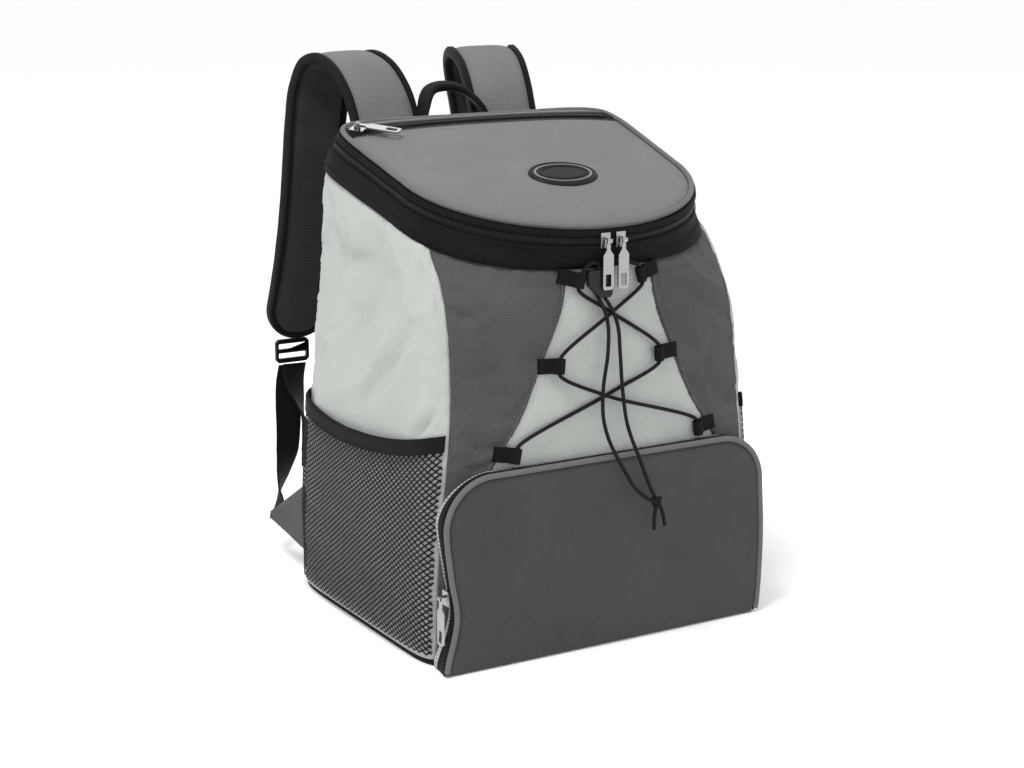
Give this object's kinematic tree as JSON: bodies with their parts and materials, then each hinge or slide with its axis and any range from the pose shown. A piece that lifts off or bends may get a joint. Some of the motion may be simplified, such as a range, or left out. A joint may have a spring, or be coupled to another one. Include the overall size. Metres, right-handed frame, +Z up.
{
  "type": "cooler backpack",
  "caption": "Soft insulated cooler backpack with a zipped sloping lid, laced front, front pocket, mesh side pockets and padded shoulder straps.",
  "frame": {"origin": "centre of the bag's footprint, on the floor", "axes": "+Z up, the front with the pocket faces -Y, +X to the right seen from the front"},
  "size_m": [0.3265, 0.3973, 0.4542],
  "materials": {
    "light_cloth": "light grey polyester cloth, fine plain weave, padded",
    "dark_cloth": "dark grey polyester cloth, padded",
    "lid_cloth": "mid grey polyester cloth, padded",
    "black_tape": "black woven tape, webbing and cord",
    "mesh_cloth": "black open mesh",
    "badge_rubber": "black moulded rubber, matt",
    "black_plastic": "black moulded plastic, satin",
    "bright_metal": "bright plated zip metal"
  },
  "bodies": {
    "bag": {"side_panel_left": "light_cloth", "side_panel_right": "light_cloth", "front_centre_panel": "light_cloth", "pocket_gusset": "light_cloth", "base_panel": "dark_cloth", "front_wing_left": "dark_cloth", "front_wing_right": "dark_cloth", "back_panel": "dark_cloth", "pocket_face": "dark_cloth", "strap_tab_left": "dark_cloth", "strap_tab_right": "dark_cloth", "lid_panel": "lid_cloth", "lid_rear_strip": "lid_cloth", "lid_piping": "lid_cloth", "pocket_piping": "lid_cloth", "strap_pad_left": "lid_cloth", "strap_pad_right": "lid_cloth", "lower_band": "black_tape", "upper_band": "black_tape", "lid_zip": "black_tape", "lid_hinge_cloth": "black_tape", "lid_pocket_zip": "black_tape", "pocket_zip": "black_tape", "mesh_binding_left": "black_tape", "mesh_binding_right": "black_tape", "strap_binding_left": "black_tape", "strap_binding_right": "black_tape", "strap_webbing_left": "black_tape", "strap_webbing_right": "black_tape", "strap_tail_left": "black_tape", "strap_tail_right": "black_tape", "grab_handle": "black_tape", "cord_loop_top_left": "black_tape", "cord_loop_top_right": "black_tape", "cord_loop_mid_left": "black_tape", "cord_loop_mid_right": "black_tape", "cord_loop_low_left": "black_tape", "cord_loop_low_right": "black_tape", "cord_lacing_left": "black_tape", "cord_lacing_right": "black_tape", "cord_tail_left": "black_tape", "cord_tail_right": "black_tape", "cord_knot": "black_tape", "mesh_pocket_left": "mesh_cloth", "mesh_pocket_right": "mesh_cloth", "lid_badge": "badge_rubber", "strap_buckle_left": "black_plastic", "strap_buckle_right": "black_plastic", "cord_lock": "black_plastic", "lid_zip_left_slider": "bright_metal", "lid_zip_right_slider": "bright_metal", "lid_pocket_slider": "bright_metal", "pocket_slider": "bright_metal"},
    "lid_zip_left_pull": {"lid_zip_left_pull": "bright_metal"},
    "lid_zip_right_pull": {"lid_zip_right_pull": "bright_metal"},
    "lid_pocket_pull": {"lid_pocket_pull": "bright_metal"},
    "pocket_pull": {"pocket_pull": "bright_metal"}
  },
  "joints": [
    {"name": "lid_zip_left_pull_swing", "type": "hinge", "parent": "bag", "child": "lid_zip_left_pull", "pos_m": [-0.00524, -0.13898, 0.32832], "axis": [-1, 0, 0], "range_deg": [0, 150]},
    {"name": "lid_zip_right_pull_swing", "type": "hinge", "parent": "bag", "child": "lid_zip_right_pull", "pos_m": [0.00876, -0.13906, 0.3283], "axis": [-1, 0, 0], "range_deg": [0, 150]},
    {"name": "lid_pocket_pull_swing", "type": "hinge", "parent": "bag", "child": "lid_pocket_pull", "pos_m": [-0.11553, 0.06855, 0.40456], "axis": [-0.7594, -0.6037, -0.2426], "range_deg": [0, 150]},
    {"name": "pocket_pull_swing", "type": "hinge", "parent": "bag", "child": "pocket_pull", "pos_m": [-0.15055, -0.13178, 0.06246], "axis": [0, 1, 0], "range_deg": [0, 150]}
  ]
}
